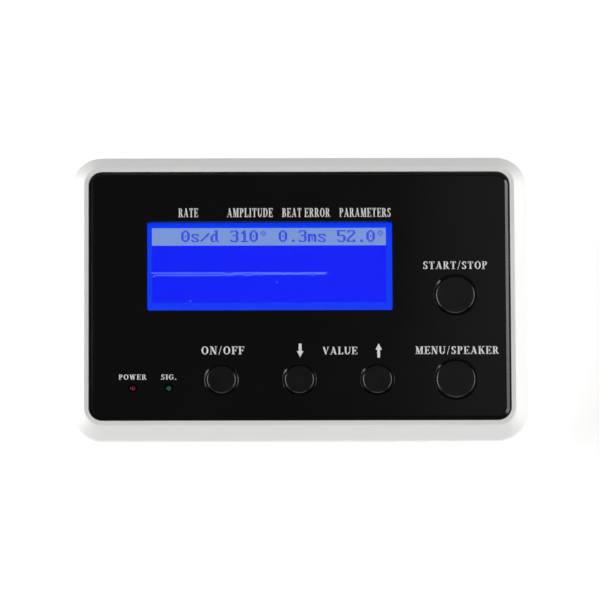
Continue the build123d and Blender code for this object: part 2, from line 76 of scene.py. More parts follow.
def linearColour(hexText):  # sRGB hex to the linear values that a shader takes
    shares = [int(hexText[i:i + 2], 16) / 255 for i in (1, 3, 5)]
    return [s / 12.92 if s <= 0.04045 else ((s + 0.055) / 1.055) ** 2.4 for s in shares] + [1.0]


def addNode(tree, kind, settings=None, links=None):
    node = tree.nodes.new(kind)
    for key, value in (settings or {}).items():
        if isinstance(key, str) and hasattr(node, key):
            setattr(node, key, value)
        else:
            node.inputs[key].default_value = value
    for key, source in (links or {}).items():
        tree.links.new(source, node.inputs[key])
    return node


def newMaterial(name):
    material = bpy.data.materials.new(name)
    material.use_nodes = True
    material.node_tree.nodes.clear()
    return material, material.node_tree


def surface(name, look):
    # One moulded, rolled or coated surface: two close colours in soft blotches, an uneven
    # gloss and a fine relief, each as large as the look says in millimetres.
    material, tree = newMaterial(name)
    place = addNode(tree, "ShaderNodeTexCoord").outputs["Object"]
    blotch = addNode(tree, "ShaderNodeTexNoise", {
        "Scale": 1 / (look["blotch"] * mm), "Detail": 3.0,
    }, {"Vector": place})
    grain = addNode(tree, "ShaderNodeTexNoise", {
        "Scale": 1 / (look["grain"] * mm), "Detail": 4.0,
    }, {"Vector": place})
    colour = addNode(tree, "ShaderNodeMix", {
        "data_type": "RGBA", 6: linearColour(look["dark"]), 7: linearColour(look["light"]),
    }, {0: blotch.outputs["Fac"]})
    gloss = addNode(tree, "ShaderNodeMapRange", {
        "From Min": 0.3, "From Max": 0.7, "To Min": look["rough"][0], "To Max": look["rough"][1],
    }, {"Value": blotch.outputs["Fac"]})
    relief = addNode(tree, "ShaderNodeBump", {
        "Strength": look["strength"], "Distance": look["depth"] * mm,
    }, {"Height": grain.outputs["Fac"]})
    shader = addNode(tree, "ShaderNodeBsdfPrincipled", look["shader"], {
        "Base Color": colour.outputs[2], "Roughness": gloss.outputs["Result"],
        "Normal": relief.outputs["Normal"],
    })
    addNode(tree, "ShaderNodeOutputMaterial", None, {"Surface": shader.outputs["BSDF"]})
    return material


# Finishes, each as the real one is made
finishes = {
    # ABS moulded in a spark-eroded tool: pale, even, a faint satin grain
    "satinSilverAbs": {
        "light": "#efefed", "dark": "#e9e9e8", "blotch": 22, "grain": 0.35, "rough": (0.38, 0.46),
        "strength": 0.12, "depth": 0.02, "shader": {"IOR": 1.53},
    },
    # cast acrylic sheet, back-printed black: deep, glossy, hardly any relief
    "blackAcrylic": {
        "light": "#0b0b0c", "dark": "#090909", "blotch": 30, "grain": 6.0, "rough": (0.10, 0.16),
        "strength": 0.03, "depth": 0.01, "shader": {"IOR": 1.49},
    },
    # black ABS caps, satin from the tool
    "satinBlackAbs": {
        "light": "#0a0a0b", "dark": "#080808", "blotch": 6, "grain": 0.3, "rough": (0.26, 0.34),
        "strength": 0.15, "depth": 0.01, "shader": {"IOR": 1.53},
    },
    # screen ink, thick and slightly chalky
    "whiteScreenInk": {
        "light": "#f2f2ee", "dark": "#e2e2de", "blotch": 1.5, "grain": 0.15, "rough": (0.5, 0.65),
        "strength": 0.3, "depth": 0.01, "shader": {"IOR": 1.5},
    },
    # pressed sheet steel, painted black, round the display
    "blackPaintedSteel": {
        "light": "#17181a", "dark": "#101113", "blotch": 8, "grain": 0.4, "rough": (0.4, 0.5),
        "strength": 0.2, "depth": 0.02, "shader": {"IOR": 1.5},
    },
    # white acetal: light guide, lamp spacers and plungers
    "whiteAcetal": {
        "light": "#e9e8e2", "dark": "#dedcd4", "blotch": 7, "grain": 0.4, "rough": (0.35, 0.45),
        "strength": 0.1, "depth": 0.02, "shader": {"IOR": 1.48},
    },
    # glass-epoxy board under green solder mask
    "greenSolderMask": {
        "light": "#1c6b3f", "dark": "#145232", "blotch": 3.0, "grain": 0.5, "rough": (0.3, 0.42),
        "strength": 0.25, "depth": 0.03, "shader": {"IOR": 1.55},
    },
    # transfer-moulded epoxy packages, matt black
    "blackEpoxy": {
        "light": "#1b1b1d", "dark": "#131314", "blotch": 3, "grain": 0.12, "rough": (0.5, 0.62),
        "strength": 0.3, "depth": 0.01, "shader": {"IOR": 1.55},
    },
    # drawn aluminium cans
    "drawnAluminium": {
        "light": "#c9ccd0", "dark": "#b4b8bd", "blotch": 4, "grain": 0.2, "rough": (0.28, 0.4),
        "strength": 0.15, "depth": 0.01, "shader": {"Metallic": 1.0},
    },
    # glass-filled nylon sockets and plugs
    "blackNylon": {
        "light": "#1c1c1d", "dark": "#131313", "blotch": 4, "grain": 0.25, "rough": (0.42, 0.55),
        "strength": 0.3, "depth": 0.02, "shader": {"IOR": 1.53},
    },
    # brass pin plated with nickel
    "nickelPlate": {
        "light": "#d6d3cb", "dark": "#c2beb4", "blotch": 2, "grain": 0.2, "rough": (0.16, 0.24),
        "strength": 0.08, "depth": 0.005, "shader": {"Metallic": 1.0},
    },
    # extruded vinyl ribbon
    "greyVinyl": {
        "light": "#a9abad", "dark": "#939598", "blotch": 5, "grain": 0.4, "rough": (0.42, 0.52),
        "strength": 0.15, "depth": 0.02, "shader": {"IOR": 1.54},
    },
    # thin polyester film
    "amberFilm": {
        "light": "#b89a5c", "dark": "#a5874c", "blotch": 5, "grain": 1.2, "rough": (0.25, 0.35),
        "strength": 0.15, "depth": 0.02, "shader": {"IOR": 1.6},
    },
    # sintered ferrite
    "darkFerrite": {
        "light": "#3b3b3e", "dark": "#2d2d30", "blotch": 3, "grain": 0.2, "rough": (0.5, 0.65),
        "strength": 0.3, "depth": 0.02, "shader": {"IOR": 1.8},
    },
    # cast black rubber, dull with fine pits
    "blackRubber": {
        "light": "#1d1d1d", "dark": "#151515", "blotch": 4, "grain": 0.3, "rough": (0.68, 0.82),
        "strength": 0.45, "depth": 0.03, "shader": {"IOR": 1.52},
    },
    # steel screws, zinc plated and blue passivated
    "zincPlate": {
        "light": "#c4c9ce", "dark": "#a7adb5", "blotch": 1.5, "grain": 0.2, "rough": (0.25, 0.4),
        "strength": 0.15, "depth": 0.01, "shader": {"Metallic": 1.0},
    },
    # sheet steel, pressed and tin plated, for the speaker's frame
    "tinPlate": {
        "light": "#bfc1c4", "dark": "#a6a8ab", "blotch": 3, "grain": 0.3, "rough": (0.3, 0.42),
        "strength": 0.15, "depth": 0.01, "shader": {"Metallic": 1.0},
    },
}
materials = {name: surface(name, look) for name, look in finishes.items()}

wearing = {
    "satinSilverAbs": ["top_shell", "bottom_shell"],
    "blackAcrylic": ["front_panel"],
    "satinBlackAbs": [name for name in nodes if name.endswith("_button")],
    "blackPaintedSteel": ["lcd_bezel"],
    "whiteAcetal": ["lcd_backlight", "led_spacers"] + [name for name in nodes if name.endswith("_plunger")],
    "greenSolderMask": ["lcd_board", "key_board", "main_board"],
    "blackEpoxy": ["lcd_drivers", "main_processor", "voltage_regulator", "switch_housings"],
    "drawnAluminium": ["capacitors", "timing_crystal"],
    "blackNylon": ["sensor_socket", "dc_socket", "ribbon_plugs"],
    "nickelPlate": ["dc_socket_pin"],
    "greyVinyl": ["display_ribbon", "key_ribbon"],
    "tinPlate": ["speaker_frame"],
    "amberFilm": ["speaker_diaphragm"],
    "darkFerrite": ["speaker_magnet"],
    "blackRubber": ["rubber_feet"],
    "zincPlate": [name for name in nodes if name.endswith("_screws")],
}


def dress(name, material):
    slots = nodes[name].material_slots
    for slot in slots:
        slot.material = material
    if not slots:
        nodes[name].data.materials.append(material)


for finish, names in wearing.items():
    for name in names:
        dress(name, materials[finish])
print("finishes on", sum(len(names) for names in wearing.values()), "nodes")

# Display: a transmissive blue cell lit from behind, seen through a clear pane

display = {
    "dots": (192, 64),
    "pitch": 0.508,  # a standard module's dot pitch in millimetres
    "dotShare": 0.9,
    "barRows": 15,
    "text": "   0s/d 310° 0.3ms 52.0°",
    "textRow": 2,
    "cellWidth": 8,
    "field": "#0019ff",
    "edge": "#0038fa",
    "lit": "#8fb0ff",
    "barLit": "#7f9cdc",
    "glow": 1.0,
    "darkShare": 0.8,  # a dark dot's glow as a share of the field's
    "gridShare": 0.1,  # the clear gap between electrodes as a share of the pitch
    "fieldGrit": 0.12,
    "barGrit": 0.06,
    "cloud": 25,  # size of the backlight's unevenness in millimetres
    "drift": (0.96, 1.04),
    "unlit": (0.004, 0.006, 0.03, 1),
    "polish": 0.3,
    "fieldLift": 0.02,  # heights above the glass in millimetres
    "dotLift": 0.05,
}
trace = {
    "row": 38,
    "length": 143,
    "apart": [(0.0, 0.48), (0.52, 0.58)],  # shares of the length with tick and tock two rows apart
    "meet": (58, 72),  # columns between which they run a row apart
    # column, depth and width of each dip, in dots
    "dips": [(63, 1.2, 2.5)] + [(column, 0.9, 1.2) for column in (1, 89, 108, 118, 131)],
    "strays": [(102, 46), (31, 62)],
}
# Plain dot characters, up to ten rows each, in cells eight dots wide. A dash is an empty row.
dotFont = {
    "0": "..ooo.. .oo.oo. oo...oo oo...oo oo.o.oo oo.o.oo oo...oo oo...oo .oo.oo. ..ooo..",
    "1": "...oo.. ..ooo.. .oooo.. ...oo.. ...oo.. ...oo.. ...oo.. ...oo.. ...oo.. .oooooo",
    "2": ".ooooo. oo...oo .....oo ....oo. ...oo.. ..oo... .oo.... oo..... oo...oo ooooooo",
    "3": ".ooooo. oo...oo .....oo .....oo ..oooo. .....oo .....oo .....oo oo...oo .ooooo.",
    "5": "ooooooo oo..... oo..... oo..... oooooo. .....oo .....oo .....oo oo...oo .ooooo.",
    "s": "- - - .ooooo. oo...oo .oo.... ..ooo.. ....oo. oo...oo .ooooo.",
    "d": "...ooo. ....oo. ....oo. ..oooo. .oo.oo. oo..oo. oo..oo. oo..oo. oo..oo. .ooo.oo",
    "m": "- - - ooo.oo. ooooooo oo.o.oo oo.o.oo oo.o.oo oo.o.oo oo...oo",
    "/": "- - ......o .....oo ....oo. ...oo.. ..oo... .oo.... oo..... o......",
    ".": "- - - - - - - - ...oo.. ...oo..",
    "°": "...o... ..o.o.. .o...o. ..o.o.. ...o...",
    " ": "",
}

# The picture is centred on the display's board and lies just above its glass.
boardMiddle = spot("lcd_board")[0]
glassMiddle, glassHalf = spot("lcd_glass")
glassTop = glassMiddle.z + glassHalf.z
activeWidth = display["pitch"] * display["dots"][0]
activeLength = display["pitch"] * display["dots"][1]
activeLeft = boardMiddle.x - activeWidth / 2
activeTop = boardMiddle.y + activeLength / 2


def linked(name, data):  # a new object in the scene
    piece = bpy.data.objects.new(name, data)
    bpy.context.scene.collection.objects.link(piece)
    return piece


def headerDots():
    dots = []
    for place, letter in enumerate(display["text"]):
        for row, line in enumerate(dotFont[letter].split()):
            for column, mark in enumerate(line):
                if mark == "o":
                    dots.append((place * display["cellWidth"] + column, display["textRow"] + row))
    return dots


def traceDots():
    # Tick and tock plot in turn, a row or two apart, and both dip a row here and there.
    dots = list(trace["strays"])
    for column in range(trace["length"]):
        share = column / trace["length"]
        meeting = trace["meet"][0] < column < trace["meet"][1]
        wide = not meeting and any(low <= share < high for low, high in trace["apart"])
        dip = sum(depth * math.exp(-((column - place) / width) ** 2) for place, depth, width in trace["dips"])
        dots.append((column, trace["row"] + (2 if wide else 1) * (column % 2) + round(dip)))
    return dots


def dotSheet(name, dots, level, material):
    # One flat square for each dot, set out by a Geometry Nodes tree on a mesh of points.
    pitch = display["pitch"]
    points = [(activeLeft + pitch * (x + 0.5), activeTop - pitch * (y + 0.5), level) for x, y in dots]
    mesh = bpy.data.meshes.new(name + "Points")
    mesh.from_pydata(points, [], [])
    piece = linked(name + "Points", mesh)
    tree = bpy.data.node_groups.new(name, "GeometryNodeTree")
    tree.interface.new_socket("Geometry", in_out="INPUT", socket_type="NodeSocketGeometry")
    side = tree.interface.new_socket("Dot side", in_out="INPUT", socket_type="NodeSocketFloat")
    tree.interface.new_socket("Geometry", in_out="OUTPUT", socket_type="NodeSocketGeometry")
    entry = addNode(tree, "NodeGroupInput")
    square = addNode(tree, "GeometryNodeMeshGrid", {"Vertices X": 2, "Vertices Y": 2}, {
        "Size X": entry.outputs["Dot side"], "Size Y": entry.outputs["Dot side"],
    })
    spread = addNode(tree, "GeometryNodeInstanceOnPoints", None, {
        "Points": entry.outputs["Geometry"], "Instance": square.outputs["Mesh"],
    })
    real = addNode(tree, "GeometryNodeRealizeInstances", None, {"Geometry": spread.outputs["Instances"]})
    coloured = addNode(tree, "GeometryNodeSetMaterial", {"Material": material}, {
        "Geometry": real.outputs["Geometry"],
    })
    addNode(tree, "NodeGroupOutput", None, {"Geometry": coloured.outputs["Geometry"]})
    modifier = piece.modifiers.new("dots", "NODES")
    modifier.node_group = tree
    modifier[side.identifier] = pitch * display["dotShare"]
    return finishTree(piece, name)


def finishTree(piece, name):  # makes a modifier's result a plain mesh in its place
    evaluated = piece.evaluated_get(bpy.context.evaluated_depsgraph_get())
    mesh = bpy.data.meshes.new_from_object(evaluated)
    bpy.data.objects.remove(piece)
    mesh.transform(fasciaSpace)
    mesh.name = name
    return linked(name, mesh)


def plainMesh(name, points, faces, material):  # points in millimetres on the fascia
    mesh = bpy.data.meshes.new(name)
    mesh.from_pydata(points, [], faces)
    mesh.materials.append(material)
    mesh.transform(fasciaSpace)
    return linked(name, mesh)


def glowing(name, hexText, strength, grit):
    # Light through a liquid crystal cell: an even colour, with the electrodes' fine grid
    # drawn a little darker and the polariser's faint gloss on top.
    material, tree = newMaterial(name)
    place = addNode(tree, "ShaderNodeTexCoord").outputs["Object"]
    level = addNode(tree, "ShaderNodeMapping", {"Rotation": (-slope, 0, 0)}, {"Vector": place})
    parts = addNode(tree, "ShaderNodeSeparateXYZ", None, {"Vector": level.outputs["Vector"]})
    gaps = []
    for axis in ("X", "Y"):
        cells = addNode(tree, "ShaderNodeMath", {
            "operation": "DIVIDE", 1: display["pitch"] * mm,
        }, {0: parts.outputs[axis]})
        along = addNode(tree, "ShaderNodeMath", {"operation": "FRACT"}, {0: cells.outputs[0]})
        gaps.append(addNode(tree, "ShaderNodeMath", {
            "operation": "LESS_THAN", 1: display["gridShare"],
        }, {0: along.outputs[0]}))
    grid = addNode(tree, "ShaderNodeMath", {"operation": "MAXIMUM"}, {
        0: gaps[0].outputs[0], 1: gaps[1].outputs[0],
    })
    uneven = addNode(tree, "ShaderNodeTexNoise", {
        "Scale": 1 / (display["cloud"] * mm), "Detail": 2.0,
    }, {"Vector": place})
    shade = addNode(tree, "ShaderNodeMapRange", {
        "To Min": 1.0, "To Max": 1 - grit,
    }, {"Value": grid.outputs[0]})
    drift = addNode(tree, "ShaderNodeMapRange", {
        "To Min": display["drift"][0], "To Max": display["drift"][1],
    }, {"Value": uneven.outputs["Fac"]})
    share = addNode(tree, "ShaderNodeMath", {"operation": "MULTIPLY"}, {
        0: shade.outputs[0], 1: drift.outputs[0],
    })
    colour = addNode(tree, "ShaderNodeMix", {
        "data_type": "RGBA", 6: (0, 0, 0, 1), 7: linearColour(hexText),
    }, {0: share.outputs[0]})
    shader = addNode(tree, "ShaderNodeBsdfPrincipled", {
        "Base Color": display["unlit"], "Roughness": display["polish"], "Emission Strength": strength,
    }, {"Emission Color": colour.outputs[2]})
    addNode(tree, "ShaderNodeOutputMaterial", None, {"Surface": shader.outputs["BSDF"]})
    return material


cellEdge = glowing("backlitCellEdge", display["edge"], display["glow"], 0.0)
cellField = glowing("backlitCellField", display["field"], display["glow"], display["fieldGrit"])
cellBar = glowing("backlitCellBar", display["barLit"], display["glow"], display["barGrit"])
cellDark = glowing("backlitCellDarkDots", display["field"], display["glow"] * display["darkShare"], 0.0)
cellLit = glowing("backlitCellLitDots", display["lit"], display["glow"], 0.0)
dress("lcd_glass", cellEdge)


def activeArea(name, top, bottom, material):  # a lit field over the picture's whole width
    left, right = activeLeft, activeLeft + activeWidth
    level = glassTop + display["fieldLift"]
    points = [(left, bottom, level), (right, bottom, level), (right, top, level), (left, top, level)]
    piece = plainMesh(name, points, [(0, 1, 2, 3)], material)
    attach(piece, "housing")


barBottom = activeTop - display["pitch"] * display["barRows"]
activeArea("displayField", barBottom, activeTop - activeLength, cellField)
activeArea("displayBar", activeTop, barBottom, cellBar)
for name, dots, material in (("headerDots", headerDots(), cellDark), ("traceDots", traceDots(), cellLit)):
    sheet = dotSheet(name, dots, glassTop + display["dotLift"], material)
    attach(sheet, "housing")
print("display drawn")

# The clear pane over the display, with sizes in millimetres
pane = {"ripple": 18, "haze": (0.02, 0.05), "tint": (0.97, 0.98, 1.0, 1), "strength": 0.02, "depth": 0.02}


def clearPane(name):  # cast acrylic, clear, with the faintest haze and ripple
    material, tree = newMaterial(name)
    place = addNode(tree, "ShaderNodeTexCoord").outputs["Object"]
    ripple = addNode(tree, "ShaderNodeTexNoise", {
        "Scale": 1 / (pane["ripple"] * mm), "Detail": 1.0,
    }, {"Vector": place})
    haze = addNode(tree, "ShaderNodeMapRange", {
        "To Min": pane["haze"][0], "To Max": pane["haze"][1],
    }, {"Value": ripple.outputs["Fac"]})
    relief = addNode(tree, "ShaderNodeBump", {
        "Strength": pane["strength"], "Distance": pane["depth"] * mm,
    }, {"Height": ripple.outputs["Fac"]})
    shader = addNode(tree, "ShaderNodeBsdfPrincipled", {
        "Base Color": pane["tint"], "IOR": 1.49, "Transmission Weight": 1.0,
    }, {"Roughness": haze.outputs[0], "Normal": relief.outputs["Normal"]})
    addNode(tree, "ShaderNodeOutputMaterial", None, {"Surface": shader.outputs["BSDF"]})
    return material


dress("display_window", clearPane("clearAcrylic"))

# Lamps: diffused epoxy lenses, unlit. Lengths are in millimetres.

lamp = {
    "sides": 40,
    "rings": 9,
    "height": 5.3,
    "flange": 0.4,
    "flangeHeight": 1.0,
    "crown": 0.02,  # radius of the tiny flat that closes the dome
    "leadOffset": 1.27,  # from the lamp's axis to each lead
    "leadHalf": 0.25,
    "cloud": 1.2,
    "depth": 0.01,
}


def lensMaterial(name, hexText, hexDeep):  # tinted epoxy, milky inside and glossy on its dome
    material, tree = newMaterial(name)
    place = addNode(tree, "ShaderNodeTexCoord").outputs["Object"]
    cloud = addNode(tree, "ShaderNodeTexNoise", {
        "Scale": 1 / (lamp["cloud"] * mm), "Detail": 2.0,
    }, {"Vector": place})
    colour = addNode(tree, "ShaderNodeMix", {
        "data_type": "RGBA", 6: linearColour(hexDeep), 7: linearColour(hexText),
    }, {0: cloud.outputs["Fac"]})
    relief = addNode(tree, "ShaderNodeBump", {
        "Strength": 0.05, "Distance": lamp["depth"] * mm,
    }, {"Height": cloud.outputs["Fac"]})
    shader = addNode(tree, "ShaderNodeBsdfPrincipled", {
        "Roughness": 0.08, "IOR": 1.54, "Transmission Weight": 0.35,
    }, {"Base Color": colour.outputs[2], "Normal": relief.outputs["Normal"]})
    addNode(tree, "ShaderNodeOutputMaterial", None, {"Surface": shader.outputs["BSDF"]})
    return material


def lampPiece(name, node, material):
    middle, half = spot(node)
    top = middle.z + half.z
    radius = half.x - lamp["flange"]
    foot = top - lamp["height"]
    shoulder = foot + lamp["flangeHeight"]
    profile = [(half.x, foot), (half.x, shoulder), (radius, shoulder)]
    for step in range(lamp["rings"]):
        turn = math.pi / 2 * step / (lamp["rings"] - 1)
        reach = max(radius * math.cos(turn), lamp["crown"])
        profile.append((reach, top - radius + radius * math.sin(turn)))
    points, faces = [], []
    for reach, level in profile:
        for side in range(lamp["sides"]):
            turn = 2 * math.pi * side / lamp["sides"]
            points.append((middle.x + reach * math.cos(turn), middle.y + reach * math.sin(turn), level))
    for ring in range(len(profile) - 1):
        for side in range(lamp["sides"]):
            after = (side + 1) % lamp["sides"]
            low, high = ring * lamp["sides"], (ring + 1) * lamp["sides"]
            faces.append((low + side, low + after, high + after, high + side))
    faces.append(tuple(reversed(range(lamp["sides"]))))
    faces.append(tuple(range(len(points) - lamp["sides"], len(points))))
    lensCount = len(faces)
    bottom = middle.z - half.z
    for side in (-1, 1):  # the two square leads
        leadX = middle.x + side * lamp["leadOffset"]
        first = len(points)
        for level in (bottom, foot):
            for stepX, stepY in ((-1, -1), (1, -1), (1, 1), (-1, 1)):
                x = leadX + stepX * lamp["leadHalf"]
                points.append((x, middle.y + stepY * lamp["leadHalf"], level))
        corners = [(0, 3, 2, 1), (4, 5, 6, 7), (0, 1, 5, 4), (1, 2, 6, 5), (2, 3, 7, 6), (3, 0, 4, 7)]
        faces += [tuple(first + corner for corner in face) for face in corners]
    piece = plainMesh(name, points, faces, material)
    piece.data.materials.append(materials["nickelPlate"])
    for index, face in enumerate(piece.data.polygons):
        face.use_smooth = index < lensCount - 2  # all of the lens but its two end faces
        face.material_index = 0 if index < lensCount else 1
    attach(piece, "housing")
    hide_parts(node)
    return piece


redEpoxy = lensMaterial("redEpoxyLens", "#b8244e", "#641232")
lampPiece("powerLens", "power_led", redEpoxy)
greenEpoxy = lensMaterial("greenEpoxyLens", "#2a9c72", "#125a42")
lampPiece("signalLens", "signal_led", greenEpoxy)
print("lamps made")

# Print on the fascia

lettering = {
    "thick": 0.21,  # widths and gaps as shares of a letter's height
    "thin": 0.075,
    "serif": 0.09,
    "footSpread": 1.1,  # a small foot's serif against a stem's
    "tipHalf": 0.6,  # half the width of a bar's end stroke against a thin stroke
    "slantWeight": 1.1,  # a thick slanted stroke against a stem
    "dotHalf": 0.1,
    "gap": 0.16,
    "space": 0.42,
    "arcSteps": 10,  # polygons in a quarter turn
    "lift": 0.02,  # above the fascia, in millimetres
}
arrow = {"shaft": (0.13, 0.33), "neck": 0.55, "width": 0.46}  # shares of its height
# Each letter is a few strokes in a box one unit high: stems and bars with serifs,
# slanted strokes, and rings given by middle, radii and the angles they run between.
letters = {
    "A": (0.86, [
        ("slant", 0.10, 0, 0.43, 1, "thin"), ("slant", 0.70, 0, 0.40, 1, "thick"),
        ("bar", 0.2, 0.6, 0.3), ("foot", 0.10, 0), ("foot", 0.70, 0),
    ]),
    "B": (0.74, [
        ("stem", 0.18), ("bar", 0.18, 0.4, 1), ("bar", 0.18, 0.42, 0.52), ("bar", 0.18, 0.42, 0),
        ("ring", 0.36, 0.76, 0.28, 0.24, -90, 90), ("ring", 0.38, 0.275, 0.33, 0.275, -90, 90),
    ]),
    "D": (0.84, [
        ("stem", 0.18), ("bar", 0.18, 0.4, 1), ("bar", 0.18, 0.4, 0),
        ("ring", 0.38, 0.5, 0.43, 0.5, -90, 90),
    ]),
    "E": (0.72, [
        ("stem", 0.18), ("bar", 0.18, 0.66, 1), ("bar", 0.18, 0.5, 0.5), ("bar", 0.18, 0.68, 0),
        ("tip", 0.66, 0.78, 1), ("tip", 0.5, 0.36, 0.64), ("tip", 0.68, 0, 0.24),
    ]),
    "F": (0.68, [
        ("stem", 0.18), ("bar", 0.18, 0.64, 1), ("bar", 0.18, 0.5, 0.5), ("tip", 0.64, 0.76, 1),
        ("tip", 0.5, 0.36, 0.64),
    ]),
    "G": (0.86, [
        ("ring", 0.42, 0.5, 0.40, 0.5, 50, 330), ("short", 0.66, 0.06, 0.46),
        ("bar", 0.52, 0.82, 0.46), ("tip", 0.70, 0.7, 0.98),
    ]),
    "I": (0.38, [("stem", 0.19)]),
    "K": (0.84, [
        ("stem", 0.18), ("slant", 0.26, 0.45, 0.68, 1, "thin"),
        ("slant", 0.72, 0, 0.40, 0.62, "thick"), ("foot", 0.70, 0), ("foot", 0.66, 1),
    ]),
    "L": (0.68, [("stem", 0.18), ("bar", 0.18, 0.64, 0), ("tip", 0.64, 0, 0.28)]),
    "M": (1.06, [
        ("slant", 0.16, 0, 0.16, 1, "thin"), ("slant", 0.52, 0, 0.22, 1, "thick"),
        ("slant", 0.50, 0, 0.80, 1, "thin"), ("stem", 0.87), ("foot", 0.16, 0), ("foot", 0.16, 1),
    ]),
    "N": (0.86, [
        ("slant", 0.14, 0, 0.14, 1, "thin"), ("slant", 0.70, 0, 0.20, 1, "thick"),
        ("slant", 0.74, 0, 0.74, 1, "thin"), ("foot", 0.14, 0), ("foot", 0.14, 1),
        ("foot", 0.74, 1),
    ]),
    "O": (0.88, [("ring", 0.44, 0.5, 0.42, 0.5, 0, 360)]),
    "P": (0.70, [
        ("stem", 0.18), ("bar", 0.18, 0.4, 1), ("bar", 0.18, 0.4, 0.46),
        ("ring", 0.36, 0.73, 0.31, 0.27, -90, 90),
    ]),
    "R": (0.82, [
        ("stem", 0.18), ("bar", 0.18, 0.4, 1), ("bar", 0.18, 0.4, 0.48),
        ("ring", 0.36, 0.74, 0.31, 0.26, -90, 90), ("slant", 0.70, 0, 0.42, 0.5, "thick"),
        ("foot", 0.72, 0),
    ]),
    "S": (0.64, [
        ("ring", 0.32, 0.74, 0.28, 0.26, 40, 270), ("ring", 0.32, 0.27, 0.29, 0.27, -140, 90),
        ("tip", 0.54, 0.72, 0.98), ("tip", 0.08, 0.02, 0.3),
    ]),
    "T": (0.78, [
        ("stem", 0.39), ("bar", 0.06, 0.72, 1), ("tip", 0.08, 0.74, 1), ("tip", 0.70, 0.74, 1),
    ]),
    "U": (0.84, [
        ("short", 0.18, 0.3, 1), ("slant", 0.72, 0.3, 0.72, 1, "thin"),
        ("ring", 0.42, 0.32, 0.335, 0.32, 180, 360), ("foot", 0.18, 1), ("foot", 0.72, 1),
    ]),
    "V": (0.86, [
        ("slant", 0.46, 0, 0.16, 1, "thick"), ("slant", 0.44, 0, 0.74, 1, "thin"),
        ("foot", 0.16, 1), ("foot", 0.74, 1),
    ]),
    "W": (1.14, [
        ("slant", 0.38, 0, 0.16, 1, "thick"), ("slant", 0.36, 0, 0.56, 1, "thin"),
        ("slant", 0.78, 0, 0.56, 1, "thick"), ("slant", 0.76, 0, 0.98, 1, "thin"),
        ("foot", 0.16, 1), ("foot", 0.56, 1), ("foot", 0.98, 1),
    ]),
    "/": (0.46, [("slant", 0.08, -0.05, 0.40, 1.05, "thin")]),
    ".": (0.3, [("dot", 0.15, 0.1)]),
}


def strokeShapes(kind, values):  # the polygons of one stroke, in the letter's box
    thick, thin, serif = lettering["thick"], lettering["thin"], lettering["serif"]

    def slab(x0, x1, y0, y1):
        return [(x0, y0), (x1, y0), (x1, y1), (x0, y1)]

    if kind == "stem":
        x = values[0]
        reach = thick / 2 + serif
        serifs = [slab(x - reach, x + reach, 0, thin), slab(x - reach, x + reach, 1 - thin, 1)]
        return [slab(x - thick / 2, x + thick / 2, 0, 1)] + serifs
    if kind == "short":
        x, y0, y1 = values
        return [slab(x - thick / 2, x + thick / 2, y0, y1)]
    if kind == "bar":
        x0, x1, y = values
        low = min(max(y - thin / 2, 0), 1 - thin)
        return [slab(x0, x1, low, low + thin)]
    if kind == "tip":
        x, y0, y1 = values
        half = thin * lettering["tipHalf"]
        return [slab(x - half, x + half, y0, y1)]
    if kind == "foot":
        x, y = values
        reach = thin / 2 + serif * lettering["footSpread"]
        low = 0 if y == 0 else 1 - thin
        return [slab(x - reach, x + reach, low, low + thin)]
    if kind == "dot":
        x, y = values
        return [slab(x - thick / 2, x + thick / 2, y - lettering["dotHalf"], y + lettering["dotHalf"])]
    if kind == "slant":
        x0, y0, x1, y1, weight = values
        half = (thick * lettering["slantWeight"] if weight == "thick" else thin) / 2
        return [[(x0 - half, y0), (x0 + half, y0), (x1 + half, y1), (x1 - half, y1)]]
    x, y, reachX, reachY, start, end = values
    steps = max(4, round(lettering["arcSteps"] * (end - start) / 90))
    shapes = []
    for step in range(steps):
        a, b = (math.radians(start + (end - start) * mark / steps) for mark in (step, step + 1))
        outer = [(reachX, reachY, a), (reachX, reachY, b)]
        inner = [(reachX - thick, reachY - thin, b), (reachX - thick, reachY - thin, a)]
        shapes.append([(x + rx * math.cos(turn), y + ry * math.sin(turn)) for rx, ry, turn in outer + inner])
    return shapes


def wordShapes(text):  # a word's polygons and its width, one unit high
    shapes, pen = [], 0.0
    for letter in text:
        if letter == " ":
            pen += lettering["space"]
            continue
        width, strokes = letters[letter]
        for kind, *values in strokes:
            for shape in strokeShapes(kind, values):
                shapes.append([(pen + x, y) for x, y in shape])
        pen += width + lettering["gap"]
    return shapes, pen - lettering["gap"]


def arrowShapes(up):  # an arrow with a broad shaft, one unit high, and its width
    left, right = arrow["shaft"]
    neck, width = arrow["neck"], arrow["width"]
    points = [(left, 0), (right, 0), (right, neck), (width, neck), (width / 2, 1), (0, neck), (left, neck)]
    if up:
        return [points], width
    return [[(x, 1 - y) for x, y in reversed(points)]], width


# Where each word stands: its node, offset from that node's middle, width and height, in millimetres
words = [
    ("RATE", "display_window", (-33.9, 23.2), (8.1, 3.9)),
    ("AMPLITUDE", "display_window", (-8.2, 23.2), (19.0, 3.9)),
    ("BEAT ERROR", "display_window", (15.2, 23.2), (19.9, 3.9)),
    ("PARAMETERS", "display_window", (39.8, 23.2), (21.4, 3.9)),
    ("ON/OFF", "on_off_button", (0.6, 12.6), (17.8, 3.5)),
    ("down", "value_down_button", (0.35, 12.5), (2.7, 5.9)),
    ("VALUE", "value_down_button", (16.9, 12.4), (14.4, 3.3)),
    ("up", "value_up_button", (0.6, 12.45), (2.7, 6.2)),
    ("MENU/SPEAKER", "menu_button", (0.5, 12.5), (34.7, 3.4)),
    ("START/STOP", "start_stop_button", (0.0, 12.85), (26.7, 3.4)),
    ("POWER", "power_led", (-0.1, 4.7), (11.5, 2.3)),
    ("SIG.", "signal_led", (0.0, 4.7), (6.4, 2.3)),
]


